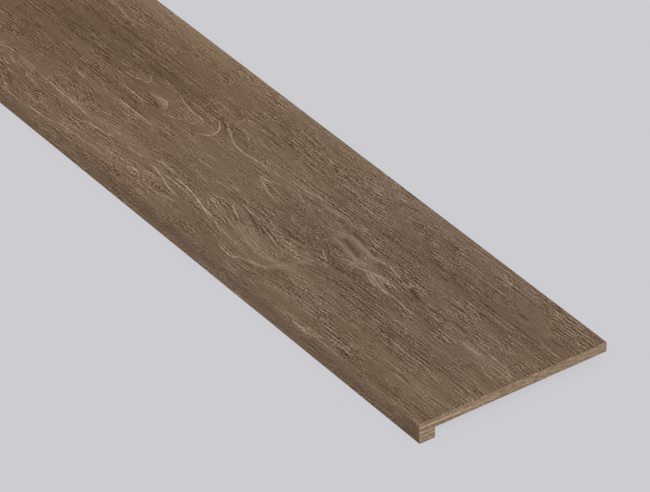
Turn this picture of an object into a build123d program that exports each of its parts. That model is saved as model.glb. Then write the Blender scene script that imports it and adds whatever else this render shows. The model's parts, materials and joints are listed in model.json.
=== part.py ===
from build123d import *
import os

# Stair tread: a flat panel with a deeper nosing along its front edge.
# Millimetres. The length runs along X, the nosing faces -Y, the walking face is up.
# The origin is at the middle of the footprint, on the floor that the nosing stands on.

# Overall sizes
tread_length = 1200.0
tread_depth = 305.0
tread_height = 31.75

# The section
panel_thickness = 15.0
nosing_thickness = 25.0

# Arrises
front_top_radius = 2.5
front_bottom_radius = 1.0
nosing_back_ease = 0.5
back_edge_ease = 0.5
end_ease = 0.4

# Where the section's faces lie
front_face = -tread_depth / 2
back_face = tread_depth / 2
nosing_back = front_face + nosing_thickness
nosing_foot = 0.0
underside = tread_height - panel_thickness
walking_face = tread_height

# The middle of each edge that is eased, in the section
front_top_arris = (front_face, walking_face)
front_bottom_arris = (front_face, nosing_foot)
nosing_back_arris = (nosing_back, nosing_foot)
back_bottom_arris = (back_face, underside)
back_top_arris = (back_face, walking_face)


def long_edge(part, arris):
    """The edge along the length that passes through a corner of the section."""
    y, z = arris
    return part.edges().filter_by(Axis.X).sort_by_distance((0, y, z))[0]


with BuildPart() as tread:

    # The section: the panel, and the nosing hanging below its front edge
    with BuildSketch(Plane.YZ):
        with BuildLine():
            Polyline(
                (front_face, nosing_foot),
                (nosing_back, nosing_foot),
                (nosing_back, underside),
                (back_face, underside),
                (back_face, walking_face),
                (front_face, walking_face),
                close=True,
            )
        make_face()
    extrude(amount=tread_length / 2, both=True)

    # The rounded front arrises, where a foot lands and where a hand meets the nosing
    fillet(long_edge(tread.part, front_top_arris), radius=front_top_radius)
    fillet(long_edge(tread.part, front_bottom_arris), radius=front_bottom_radius)

    # The other long arrises are only broken
    chamfer(long_edge(tread.part, nosing_back_arris), length=nosing_back_ease)
    chamfer(long_edge(tread.part, back_bottom_arris), length=back_edge_ease)
    chamfer(long_edge(tread.part, back_top_arris), length=back_edge_ease)

    # The walking face's two short arrises, broken where the length is cut
    short_arrises = tread.part.faces().sort_by(Axis.Z)[-1].edges().filter_by(Axis.Y)
    chamfer(short_arrises, length=end_ease)

tread.part.label = "tread"

os.makedirs("parts", exist_ok=True)
export_step(tread.part, "parts/tread.step")
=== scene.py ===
"""A stair tread in limed grey-brown oak: a flat panel with a deeper nosing along its front edge.

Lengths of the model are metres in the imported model's frame: +X runs along the tread, -Y leaves
the nosing's front face and +Z leaves the walking face. The figure of the wood is drawn in
millimetres: along is the place on the length, and across is the place over the depth, which
carries on down the nosing's front as if the face were unrolled.
"""

import json
import logging
import math
from collections.abc import Mapping, Sequence
from dataclasses import dataclass, field
from enum import Enum
from functools import cached_property
from typing import Any, ClassVar

import bpy
import numpy as np
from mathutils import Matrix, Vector

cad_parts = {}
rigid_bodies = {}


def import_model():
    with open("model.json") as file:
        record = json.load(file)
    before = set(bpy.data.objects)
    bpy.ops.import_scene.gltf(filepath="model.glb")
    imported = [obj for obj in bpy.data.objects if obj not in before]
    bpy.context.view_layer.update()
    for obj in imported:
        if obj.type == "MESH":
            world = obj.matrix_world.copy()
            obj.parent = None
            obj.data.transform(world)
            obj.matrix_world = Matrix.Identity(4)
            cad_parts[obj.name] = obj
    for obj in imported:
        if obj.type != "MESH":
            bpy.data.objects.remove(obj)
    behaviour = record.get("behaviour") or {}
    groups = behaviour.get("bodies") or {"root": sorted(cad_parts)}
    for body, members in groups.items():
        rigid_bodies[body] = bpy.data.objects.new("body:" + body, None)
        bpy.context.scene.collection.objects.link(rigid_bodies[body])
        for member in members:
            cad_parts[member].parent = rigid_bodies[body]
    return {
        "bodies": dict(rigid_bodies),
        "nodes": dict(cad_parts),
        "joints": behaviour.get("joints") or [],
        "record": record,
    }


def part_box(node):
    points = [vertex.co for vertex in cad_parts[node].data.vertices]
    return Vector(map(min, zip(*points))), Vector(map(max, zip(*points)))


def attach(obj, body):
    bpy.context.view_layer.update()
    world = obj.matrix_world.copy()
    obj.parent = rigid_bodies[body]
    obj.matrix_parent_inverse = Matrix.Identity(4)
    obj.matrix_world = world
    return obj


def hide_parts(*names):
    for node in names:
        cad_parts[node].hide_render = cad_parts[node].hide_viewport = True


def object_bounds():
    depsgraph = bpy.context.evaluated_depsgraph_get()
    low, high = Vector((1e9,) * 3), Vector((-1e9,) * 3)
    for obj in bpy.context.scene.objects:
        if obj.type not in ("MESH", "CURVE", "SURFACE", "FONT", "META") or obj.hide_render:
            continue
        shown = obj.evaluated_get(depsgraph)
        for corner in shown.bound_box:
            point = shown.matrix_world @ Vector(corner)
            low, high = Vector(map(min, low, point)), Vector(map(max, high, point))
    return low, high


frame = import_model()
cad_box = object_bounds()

log = logging.getLogger("stair_tread")

MM = 0.001
PER_MM = 1.0 / MM

# What Blender's plain noise gives: its middle, and how far it strays from that
NOISE_MIDDLE = 0.5
NOISE_SPREAD = 0.13

Rgb = tuple[float, float, float]
Point = tuple[float, float]


def linear(shown: float) -> float:
    """Undoes the usual display curve: a channel from 0 to 255 becomes light from 0 to 1."""
    share = max(shown, 0.0) / 255.0
    return share / 12.92 if share <= 0.04045 else ((share + 0.055) / 1.055) ** 2.4


def place_in_scene(name: str, data: bpy.types.ID) -> bpy.types.Object:
    """Makes an object of a mesh, a lamp or a camera.

    Args:
        name: The object's name.
        data: What it shows.

    Returns:
        The object, linked to the scene.
    """
    made = bpy.data.objects.new(name, data)
    bpy.context.scene.collection.objects.link(made)
    return made


class Field:
    """A value that varies over a surface, with Python's arithmetic on it."""

    def __init__(self, graph: "Graph", socket: bpy.types.NodeSocket) -> None:
        """Wraps an output socket of a graph."""
        self.graph = graph
        self.socket = socket

    def __add__(self, other: "Field | float") -> "Field":
        """self + other."""
        return self.graph.math("ADD", self, other)

    __radd__ = __add__

    def __sub__(self, other: "Field | float") -> "Field":
        """self - other."""
        return self.graph.math("SUBTRACT", self, other)

    def __rsub__(self, other: float) -> "Field":
        """other - self."""
        return self.graph.math("SUBTRACT", other, self)

    def __mul__(self, other: "Field | float") -> "Field":
        """self * other."""
        return self.graph.math("MULTIPLY", self, other)

    __rmul__ = __mul__

    def __truediv__(self, other: "Field | float") -> "Field":
        """self / other."""
        return self.graph.math("DIVIDE", self, other)

    def __rtruediv__(self, other: float) -> "Field":
        """other / self."""
        return self.graph.math("DIVIDE", other, self)

    def __neg__(self) -> "Field":
        """-self."""
        return self * -1.0

    def __abs__(self) -> "Field":
        """The value without its sign."""
        return self.graph.math("ABSOLUTE", self)

    def at_least(self, other: "Field | float") -> "Field":
        """The greater of the two."""
        return self.graph.math("MAXIMUM", self, other)

    def above(self, limit: "Field | float") -> "Field":
        """One where the value is over the limit, and zero elsewhere."""
        return self.graph.math("GREATER_THAN", self, limit)

    def hill(self) -> "Field":
        """A smooth hill of height one where the value is zero, and nearly nothing past two."""
        return self.graph.math("EXPONENT", -(self * self))

    def over(self, low: float, high: float) -> "Field":
        """Rises smoothly from 0 at low to 1 at high, and stays there.

        Args:
            low: Where the rise starts.
            high: Where it ends, which may be below low for a fall.

        Returns:
            The share, from 0 to 1.
        """
        values = {"Value": self, "From Min": low, "From Max": high}
        return self.graph.field("ShaderNodeMapRange", "Result", values, interpolation_type="SMOOTHSTEP")


class Graph:
    """A node tree being built, for a finish or for Geometry Nodes."""

    def __init__(self, tree: bpy.types.NodeTree) -> None:
        """Starts on an existing tree."""
        self.tree = tree

    @classmethod
    def of(cls, owner: bpy.types.Material | bpy.types.World) -> "Graph":
        """Starts on the emptied tree of a material or a world.

        Args:
            owner: What the tree belongs to.

        Returns:
            The graph.
        """
        owner.use_nodes = True
        owner.node_tree.nodes.clear()
        return cls(owner.node_tree)

    def add(
        self, kind: str, inputs: Mapping[str | int, Any] | None = None, **settings: Any
    ) -> bpy.types.Node:
        """Adds a node, gives it its settings, then its values and links.

        Args:
            kind: The node's type.
            inputs: Values, fields or sockets, by the input's name or its place in order.
            **settings: Its own properties. stops is a colour ramp's places and colours.

        Returns:
            The new node.
        """
        node = self.tree.nodes.new(kind)
        for name, value in settings.items():
            if name == "stops":
                self.set_stops(node.color_ramp, value)
            else:
                setattr(node, name, value)
        for key, value in (inputs or {}).items():
            self.feed(self.input_of(node, key), value)
        return node

    @staticmethod
    def set_stops(ramp: bpy.types.ColorRamp, stops: Sequence[tuple[float, Rgb]]) -> None:
        """Gives a colour ramp its stops.

        Args:
            ramp: The ramp, as a new node has it.
            stops: Place from 0 to 1 and linear colour, from first to last.
        """
        while len(ramp.elements) < len(stops):
            ramp.elements.new(1.0)
        for element, (place, colour) in zip(ramp.elements, stops, strict=True):
            element.position = place
            element.color = (*colour, 1.0)

    @staticmethod
    def input_of(node: bpy.types.Node, key: str | int) -> bpy.types.NodeSocket:
        """Finds one of a node's inputs that are in use.

        Args:
            node: The node.
            key: The input's name, or its place in order.

        Returns:
            The input.
        """
        if isinstance(key, int):
            return node.inputs[key]
        return next(s for s in node.inputs if s.enabled and s.name == key)

    def feed(self, target: bpy.types.NodeSocket, value: Any) -> None:
        """Links a field or socket to an input, or sets the input's own value.

        Args:
            target: The input.
            value: What it gets.
        """
        if isinstance(value, Field):
            value = value.socket
        if isinstance(value, bpy.types.NodeSocket):
            self.tree.links.new(value, target)
        else:
            target.default_value = value

    def field(
        self, kind: str, output: str, inputs: Mapping[str | int, Any] | None = None, **settings: Any
    ) -> Field:
        """Adds a node and wraps one of its outputs.

        Args:
            kind: The node's type.
            output: The name of the output that is wanted.
            inputs: Its values and links.
            **settings: Its own properties.

        Returns:
            That output as a field.
        """
        node = self.add(kind, inputs, **settings)
        return Field(self, next(s for s in node.outputs if s.enabled and s.name == output))

    def math(self, operation: str, *values: Field | float) -> Field:
        """Adds one Math node.

        Args:
            operation: The node's operation, such as "MULTIPLY".
            *values: Its inputs, in order.

        Returns:
            The node's result.
        """
        return self.field("ShaderNodeMath", "Value", dict(enumerate(values)), operation=operation)

    def parts(self, vector: Field) -> tuple[Field, Field, Field]:
        """Splits a vector into its three numbers."""
        node = self.add("ShaderNodeSeparateXYZ", {"Vector": vector})
        return tuple(Field(self, node.outputs[axis]) for axis in "XYZ")

    def vector(self, x: Field | float, y: Field | float, z: Field | float) -> Field:
        """Joins three numbers into a vector."""
        return self.field("ShaderNodeCombineXYZ", "Vector", {"X": x, "Y": y, "Z": z})

    def noise(self, place: Field) -> Field:
        """Soft noise about zero, with a spread of about one.

        Args:
            place: Where to read it, in cells.

        Returns:
            The noise, mostly from -2 to 2.
        """
        values = {"Vector": place, "Scale": 1.0, "Detail": 0.0}
        raw = self.field("ShaderNodeTexNoise", "Fac", values, noise_dimensions="3D")
        return (raw - NOISE_MIDDLE) / NOISE_SPREAD

    def layer(self, name: str) -> Field:
        """Reads one of the mesh's layers for a finish."""
        return self.field("ShaderNodeAttribute", "Fac", attribute_name=name)

    def tinted(self, colour: Field, tint: Rgb, share: Field) -> Field:
        """Multiplies a colour by a tint.

        Args:
            colour: The colour.
            tint: What it is multiplied by.
            share: How far, from 0 for not at all to 1 for wholly.

        Returns:
            The tinted colour.
        """
        values = {"Factor": share, "A": colour, "B": (*tint, 1.0)}
        return self.field("ShaderNodeMix", "Result", values, data_type="RGBA", blend_type="MULTIPLY")

    def mixed(self, share: Field, first: Field, second: Field) -> Field:
        """Mixes two shaders, from all of the first at 0 to all of the second at 1."""
        return self.field("ShaderNodeMixShader", "Shader", {0: share, 1: first, 2: second})


class Layer(Enum):
    """Per-point layers of the wood's figure, as the mesh carries them for its finish.

    Attributes:
        RING: The distance from the trunk's middle, in millimetres.
        GRAIN: Place across the fibres, in millimetres.
        CLOUD_AND_HIGHLIGHT: How much paler the wood is, in steps of tone, with the painted highlight on the
            nosing's front.
        BUSY: How much stronger the fine grain is, as a share of its usual strength.
        WARM: How far the colour goes towards the warm tint.
    """

    RING = "ring"
    GRAIN = "grain"
    CLOUD_AND_HIGHLIGHT = "cloud_and_highlight"
    BUSY = "busy"
    WARM = "warm"


@dataclass(frozen=True)
class Sheet:
    """One drawing sheet of veins that keep clear of one another.

    The mesh carries how far each point is from the nearest vein of the sheet, counted in the
    vein's own half widths and negative on one side of it, and how strong that vein is there.

    Attributes:
        number: The sheet's place among the sheets.
    """

    number: int

    @property
    def gap(self) -> str:
        """The name of the layer that holds the distances."""
        return f"gap_{self.number}"

    @property
    def tone(self) -> str:
        """The name of the layer that holds the strengths."""
        return f"tone_{self.number}"


SHEETS = tuple(Sheet(i) for i in range(8))


@dataclass(frozen=True)
class Places:
    """Points of the board as the figure sees them, in millimetres.

    Attributes:
        along: Where each lies on the length.
        across: Where each lies over the depth, and on down the nosing's front.
    """

    along: np.ndarray
    across: np.ndarray


@dataclass(frozen=True)
class Patch:
    """A soft round patch of the figure; one of them is a painted highlight.

    Attributes:
        amount: What it adds at its middle, or takes away where negative.
        middle: Its middle, as along and across.
        reach: How far it spreads along and across.
    """

    amount: float
    middle: Point
    reach: Point

    @staticmethod
    def total(patches: Sequence["Patch"], places: Places) -> np.ndarray:
        """Adds up what patches do.

        Args:
            patches: The patches, which may overlap.
            places: Where to add them up.

        Returns:
            The sum at each place.
        """
        total = np.zeros_like(places.along)
        for patch in patches:
            a = (places.along - patch.middle[0]) / patch.reach[0]
            b = (places.across - patch.middle[1]) / patch.reach[1]
            total += patch.amount * np.exp(-a * a - b * b)
        return total


@dataclass(frozen=True)
class Trace:
    """How a vein passes the places near it.

    Attributes:
        near: Which places these are.
        distance: How far each is from the vein, in millimetres.
        left: How far each lies to the vein's left, in millimetres.
        body: How full the vein is there, from 0 at its tips to 1.
    """

    near: np.ndarray
    distance: np.ndarray
    left: np.ndarray
    body: np.ndarray


@dataclass(frozen=True)
class Vein:
    """One pale limed vein or dark streak of the figure, through a few points.

    Attributes:
        step: The greatest distance between the points of its path, in millimetres.
        taper: The share of its length over which it thins out towards each tip.
        tone: How much paler it is than the wood round it, or darker where negative.
        width: Half its width across, in millimetres.
        points: Where it runs, as along and across.
    """

    step: ClassVar[float] = 1.0
    taper: ClassVar[float] = 0.16

    tone: float
    width: float
    points: tuple[Point, ...]

    @cached_property
    def path(self) -> np.ndarray:
        """The vein as a smooth line of close points.

        Returns:
            Rows of along and across.
        """
        knots = np.array((self.points[0], *self.points, self.points[-1]), float)
        last = len(self.points) - 2
        rows = []
        for i, (before, start, end, after) in enumerate(zip(knots, knots[1:], knots[2:], knots[3:])):
            count = max(2, math.ceil(math.dist(start, end) / self.step))
            t = np.linspace(0.0, 1.0, count, endpoint=i == last)[:, None]
            bend = (
                2 * start
                + (end - before) * t
                + (2 * before - 5 * start + 4 * end - after) * t**2
                + (3 * start - before - 3 * end + after) * t**3
            )
            rows.append(bend / 2)
        return np.concatenate(rows)

    def trace(self, places: Places, reach: float) -> Trace:
        """Measures the places in the upright box round the vein.

        Args:
            places: The places to choose from.
            reach: How far the box goes past the vein, in millimetres.

        Returns:
            The vein's measures there.
        """
        low, high = self.path.min(0) - reach, self.path.max(0) + reach
        within = (places.along > low[0]) & (places.along < high[0])
        within &= (places.across > low[1]) & (places.across < high[1])
        near = np.flatnonzero(within)
        offsets = np.stack([places.along[near], places.across[near]], 1)[:, None] - self.path
        distances = np.hypot(offsets[..., 0], offsets[..., 1])
        nearest = distances.argmin(1)
        heading = np.gradient(self.path, axis=0)
        heading /= np.linalg.norm(heading, axis=1)[:, None]
        ahead = heading[nearest]
        offset = offsets[np.arange(len(near)), nearest]
        left = ahead[:, 0] * offset[:, 1] - ahead[:, 1] * offset[:, 0]
        share = nearest / (len(self.path) - 1)
        body = np.clip(np.minimum(share, 1.0 - share) / self.taper, 0.0, 1.0)
        return Trace(near, distances.min(1), left, body)


# The cathedral: nested loops that close to the right, and the lines that open from them
CATHEDRAL_VEINS = (
    Vein(38, 1.1, ((-282, 31), (-272, 29), (-266, 25), (-266, 20), (-276, 15), (-292, 11), (-312, 5))),
    Vein(16, 3.0, ((-245, 6), (-231, 7), (-215, 7), (-202, 2), (-194, -6))),
    Vein(12, 2.4, ((-203, 2), (-206, 8), (-210, 15))),
    Vein(9, 3.0, ((-203, 41), (-182, 41), (-160, 41), (-148, 41))),
    Vein(32, 1.1, ((-226, 9), (-215, 11), (-206, 10), (-198, 5), (-193, -1))),
    Vein(-18, 1.3, ((-250, 4), (-226, 1), (-204, -5))),
    Vein(34, 1.1, ((-208, 35), (-195, 31), (-181, 29), (-168, 27), (-150, 27), (-138, 25), (-137, 18))),
    Vein(34, 1.1, ((-138, 19), (-142, 11), (-152, 5), (-167, -1), (-189, -11))),
    Vein(-21, 1.2, ((-170, -3), (-154, 3), (-145, 11))),
    Vein(50, 1.0, ((-128, 43), (-119, 39), (-110, 33), (-105, 25), (-103, 16), (-107, 9), (-121, -1))),
    Vein(42, 1.0, (
        (-126, 53), (-112, 48), (-99, 42), (-86, 35), (-68, 28), (-48, 25), (-29, 26), (-8, 29), (18, 30),
    )),
    Vein(-16, 1.1, ((-122, 46), (-108, 41), (-96, 34), (-88, 30))),
    Vein(-14, 1.1, ((-110, 52), (-94, 46), (-80, 38))),
    Vein(18, 1.7, ((10, 30), (36, 32), (50, 35), (62, 38), (79, 40), (104, 42))),
    Vein(28, 1.1, ((-290, -13), (-262, -12), (-246, -13), (-236, -14), (-228, -16), (-220, -21))),
    Vein(-20, 1.1, ((-262, -32), (-234, -33), (-205, -34), (-180, -34))),
    Vein(27, 1.0, ((-252, -38), (-228, -37), (-206, -38), (-186, -38), (-168, -39))),
    Vein(-16, 1.1, ((-162, -36), (-136, -39))),
    Vein(22, 1.0, ((-74, -19), (-62, -18), (-48, -16))),
    Vein(-16, 1.2, ((-314, -8), (-298, -7))),
    Vein(36, 1.0, ((-341, 64), (-326, 64), (-315, 66), (-304, 67))),
    Vein(24, 1.0, ((-327, 74), (-312, 74))),
    Vein(-16, 1.0, ((-300, 57), (-272, 59), (-244, 58))),
    Vein(22, 1.0, ((-296, 61), (-278, 63))),
    Vein(24, 1.0, ((-240, 63), (-225, 67))),
    Vein(-14, 1.0, ((-206, 58), (-176, 59))),
    Vein(24, 1.0, ((-182, 64), (-163, 64))),
    Vein(22, 1.2, ((-340, 47), (-331, 45), (-314, 45))),
    Vein(-12, 4.0, ((-306, 46), (-268, 44))),
    Vein(17, 1.1, ((-264, 38), (-240, 38), (-216, 36))),
    Vein(-12, 2.4, ((-204, 39), (-190, 36), (-176, 34))),
    Vein(22, 1.0, ((-186, 40), (-175, 41), (-160, 41))),
    Vein(14, 1.1, ((-190, 49), (-160, 49))),
    Vein(26, 1.2, ((-106, 56), (-108, 66), (-106, 74), (-100, 78), (-92, 80), (-84, 79))),
    Vein(20, 1.1, ((-97, 61), (-88, 59), (-72, 54), (-55, 45))),
    Vein(16, 1.1, ((-70, 59), (-45, 51))),
    Vein(26, 1.0, ((-98, 73), (-88, 75))),
    Vein(32, 1.0, ((-83, 76), (-73, 78), (-62, 79), (-52, 81))),
    Vein(20, 1.1, ((-62, 62), (-49, 60), (-35, 59), (-20, 59))),
)

# The regular lines of the wood behind the figure, towards the back edge
BACK_VEINS = (
    Vein(22, 2.0, ((-484, 96), (-464, 98), (-446, 96), (-428, 93), (-398, 91))),
    Vein(22, 1.0, ((-444, 108), (-428, 108))),
    Vein(-18, 1.0, ((-426, 72), (-390, 73), (-360, 72))),
    Vein(-21, 1.0, ((-408, 77), (-384, 77), (-352, 78))),
    Vein(28, 1.0, ((-378, 80), (-362, 81))),
    Vein(-16, 1.6, ((-416, 55), (-388, 54), (-358, 56))),
    Vein(-21, 1.2, ((-484, 64), (-452, 63))),
    Vein(20, 1.0, ((-210, 103), (-194, 102))),
    Vein(24, 1.0, ((-175, 85), (-162, 87), (-148, 88), (-138, 91))),
    Vein(26, 1.0, ((-72, 91), (-59, 91), (-46, 90))),
    Vein(-18, 1.2, ((-82, 85), (-50, 86))),
    Vein(-18, 1.2, ((-76, 73), (-40, 75), (-12, 75))),
    Vein(36, 1.0, ((102, 92), (116, 91), (126, 92), (140, 93))),
    Vein(-21, 1.2, ((104, 88), (138, 88))),
    Vein(23, 1.2, ((164, 80), (184, 80))),
    Vein(28, 1.1, ((194, 52), (204, 52), (212, 54))),
    Vein(26, 1.1, ((318, 120), (338, 120))),
    Vein(-18, 1.2, ((310, 80), (340, 79), (374, 79))),
    Vein(29, 1.2, ((346, 73), (362, 72))),
    Vein(-21, 1.2, ((356, 68), (368, 68))),
    Vein(-21, 1.4, ((398, 42), (420, 42), (438, 42))),
    Vein(-21, 1.2, ((450, 59), (484, 58), (512, 57))),
    Vein(-21, 1.4, ((436, 75), (464, 75))),
    Vein(-18, 1.2, ((500, 77), (558, 77))),
    Vein(-18, 1.2, ((442, 101), (458, 100))),
    Vein(-25, 1.2, ((482, 98), (501, 100))),
    Vein(-21, 1.2, ((550, 98), (578, 97))),
)

# Long pale veins and short strokes towards the nosing
FRONT_VEINS = (
    Vein(42, 1.0, ((-480, -90), (-466, -90), (-452, -89), (-442, -88))),
    Vein(20, 2.6, ((-430, -89), (-407, -89), (-386, -89))),
    Vein(34, 1.0, ((-443, -109), (-430, -112), (-418, -114))),
    Vein(30, 1.0, ((-437, -101), (-424, -103), (-411, -105))),
    Vein(36, 1.0, ((-392, -106), (-372, -108), (-351, -111), (-337, -113))),
    Vein(24, 1.0, ((-375, -91), (-353, -92))),
    Vein(28, 1.0, ((-413, -120), (-403, -121))),
    Vein(-21, 1.3, ((-406, -125), (-388, -133), (-374, -138))),
    Vein(30, 1.0, ((-401, -139), (-386, -142), (-373, -144))),
    Vein(32, 1.0, ((-353, -133), (-327, -135), (-309, -133))),
    Vein(40, 1.0, ((-332, -93), (-299, -93), (-279, -94), (-256, -95), (-242, -95))),
    Vein(42, 1.0, ((-349, -46), (-340, -45), (-331, -46), (-322, -46))),
    Vein(34, 1.0, (
        (-322, -150), (-300, -149), (-276, -147), (-262, -143), (-254, -140), (-234, -138), (-218, -137),
    )),
    Vein(24, 1.0, ((-214, -136), (-203, -136), (-177, -134), (-149, -133))),
    Vein(50, 1.0, ((-246, -113), (-232, -107), (-221, -105), (-207, -102), (-195, -101), (-181, -98))),
    Vein(-16, 1.2, ((-210, -106), (-184, -103))),
    Vein(24, 1.0, ((-196, -89), (-185, -87), (-176, -87))),
    Vein(10, 3.0, ((-238, -92), (-200, -86), (-150, -81), (-110, -79))),
    Vein(30, 1.0, ((-147, -96), (-134, -95), (-126, -94), (-114, -94))),
    Vein(26, 1.0, ((-108, -126), (-102, -122), (-91, -119), (-81, -123))),
    Vein(32, 1.0, ((-104, -118), (-88, -117))),
    Vein(-16, 2.6, ((-118, -131), (-104, -125))),
    Vein(36, 1.0, ((-95, -79), (-81, -79), (-72, -79), (-61, -81), (-50, -82))),
    Vein(-18, 0.9, ((-86, -83), (-66, -85), (-54, -87))),
    Vein(56, 1.0, (
        (-46, -83), (-25, -85), (-1, -88), (14, -91), (26, -94), (38, -97), (50, -98), (64, -100),
    )),
    Vein(24, 1.0, ((62, -100), (80, -103), (99, -106), (115, -108), (129, -107), (139, -108))),
    Vein(46, 1.0, ((-96, -95), (-82, -95), (-64, -98), (-49, -102), (-37, -105), (-29, -107), (-6, -109))),
    Vein(23, 1.1, ((-72, -107), (-54, -108))),
    Vein(26, 1.0, ((-30, -123), (-20, -121), (-10, -121), (2, -120))),
    Vein(24, 1.0, ((-52, -55), (-43, -53), (-34, -54), (-21, -56), (-7, -56))),
    Vein(22, 1.0, ((-10, -45), (3, -44), (16, -42), (26, -40))),
    Vein(22, 1.0, ((10, -37), (23, -34), (34, -32))),
    Vein(32, 1.0, ((22, -67), (31, -63), (41, -60))),
    Vein(40, 1.2, ((22, -74), (30, -76), (37, -76))),
    Vein(26, 1.1, ((22, -81), (36, -87))),
    Vein(40, 1.0, ((54, -61), (65, -65), (75, -69), (84, -71))),
    Vein(-20, 2.0, ((68, -70), (80, -75), (90, -79))),
    Vein(34, 1.0, ((55, -48), (68, -49), (82, -50), (95, -50), (105, -53))),
    Vein(-18, 1.1, ((52, -42), (78, -43), (106, -42))),
    Vein(-21, 1.3, ((84, -54), (100, -59), (114, -63))),
    Vein(36, 1.3, ((118, -42), (127, -45), (138, -50))),
    Vein(28, 1.3, ((120, -12), (134, -16))),
    Vein(-16, 1.2, ((112, -57), (134, -65))),
    Vein(20, 1.0, ((134, -31), (154, -32))),
    Vein(-18, 1.4, ((142, -36), (166, -37))),
    Vein(-23, 1.2, ((206, -13), (222, -21), (236, -29))),
    Vein(34, 1.0, ((208, -21), (215, -25), (223, -30), (234, -34))),
    Vein(24, 1.6, ((200, -46), (214, -46))),
    Vein(23, 1.1, ((234, -37), (248, -43))),
    Vein(-16, 1.2, ((236, -24), (250, -34))),
    Vein(28, 1.2, ((117, -129), (128, -131), (138, -132), (148, -132), (154, -129), (163, -124))),
    Vein(22, 1.4, (
        (160, -125), (166, -121), (175, -118), (182, -116), (190, -114), (198, -110), (206, -105),
    )),
    Vein(9, 4.0, ((172, -120), (190, -114), (204, -106), (212, -96))),
    Vein(10, 4.5, ((196, -106), (204, -96), (213, -84), (217, -69), (221, -55), (220, -47))),
    Vein(-14, 1.4, ((160, -128), (178, -124), (189, -121), (199, -117))),
    Vein(-16, 1.4, ((191, -137), (203, -131), (216, -129), (224, -128))),
    Vein(18, 1.2, ((205, -142), (221, -144), (234, -147))),
    Vein(-18, 1.2, ((212, -102), (224, -109))),
    Vein(-14, 1.4, ((196, -121), (216, -123))),
    Vein(-16, 1.2, ((238, -55), (266, -54))),
    Vein(26, 1.1, ((237, -96), (246, -98), (257, -100))),
    Vein(20, 1.2, ((234, -111), (256, -113))),
    Vein(-18, 1.4, ((274, -77), (286, -78))),
    Vein(-18, 1.1, ((299, -53), (320, -52))),
    Vein(-21, 1.1, ((306, -65), (326, -66), (346, -64), (376, -65))),
    Vein(26, 1.1, ((380, -62), (392, -61))),
    Vein(-25, 1.2, ((401, -66), (409, -71), (416, -67), (424, -68), (434, -65))),
    Vein(-21, 1.2, ((422, -73), (432, -76), (437, -82))),
    Vein(-18, 1.2, ((460, -65), (470, -70), (480, -74))),
    Vein(-16, 1.2, ((444, -84), (456, -92))),
    Vein(22, 1.1, ((372, -92), (387, -92))),
    Vein(28, 1.1, ((404, -120), (420, -119))),
    Vein(26, 1.2, ((296, -147), (318, -146))),
    Vein(32, 1.1, ((340, -147), (374, -146))),
    Vein(23, 1.1, ((370, -149), (432, -149))),
    Vein(-23, 1.1, ((478, -111), (500, -108), (520, -110))),
    Vein(29, 1.0, ((494, -113), (514, -114))),
    Vein(-16, 1.1, ((422, -103), (436, -103))),
    Vein(-16, 1.2, ((558, -107), (599, -105))),
    Vein(32, 1.2, ((584, -151), (592, -153), (600, -157))),
    Vein(26, 1.2, ((318, -151), (340, -153), (366, -153))),
)

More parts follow.
